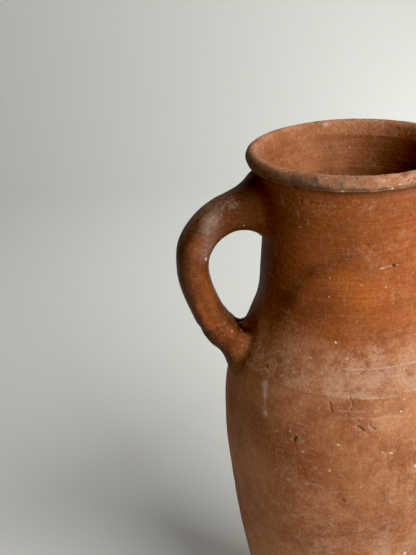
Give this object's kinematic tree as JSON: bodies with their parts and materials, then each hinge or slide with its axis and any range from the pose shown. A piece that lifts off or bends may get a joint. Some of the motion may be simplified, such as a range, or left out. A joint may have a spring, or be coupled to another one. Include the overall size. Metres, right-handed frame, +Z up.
{
  "type": "amphora",
  "caption": "Tall terracotta jar with a flat base, swelling belly, waisted neck, rolled lip and a pair of vertical strap handles.",
  "frame": {"origin": "centre of the flat base, on the surface it stands on", "axes": "+Z up along the jar's turning axis, +X through the right-hand handle, +Y away from the viewer"},
  "size_m": [0.2714, 0.2116, 0.5298],
  "materials": {
    "body_clay": "matt fired terracotta, dusty, with lime specks",
    "band_clay": "rough smeared terracotta with dust in its groove",
    "shoulder_clay": "matt terracotta with fine turning lines",
    "neck_clay": "smoothed terracotta, faintly burnished",
    "rim_clay": "worn terracotta with a grey-brown patina",
    "handle_clay": "handled, dark brown terracotta",
    "pad_clay": "thumbed terracotta, darkened",
    "gusset_clay": "sooty dark terracotta"
  },
  "bodies": {
    "root": {"lower_body": "body_clay", "joining_band": "band_clay", "shoulder": "shoulder_clay", "neck": "neck_clay", "rim": "rim_clay", "handle_left": "handle_clay", "handle_right": "handle_clay", "handle_left_foot_pad": "pad_clay", "handle_right_foot_pad": "pad_clay", "handle_left_top_gusset": "gusset_clay", "handle_right_top_gusset": "gusset_clay"}
  },
  "joints": []
}
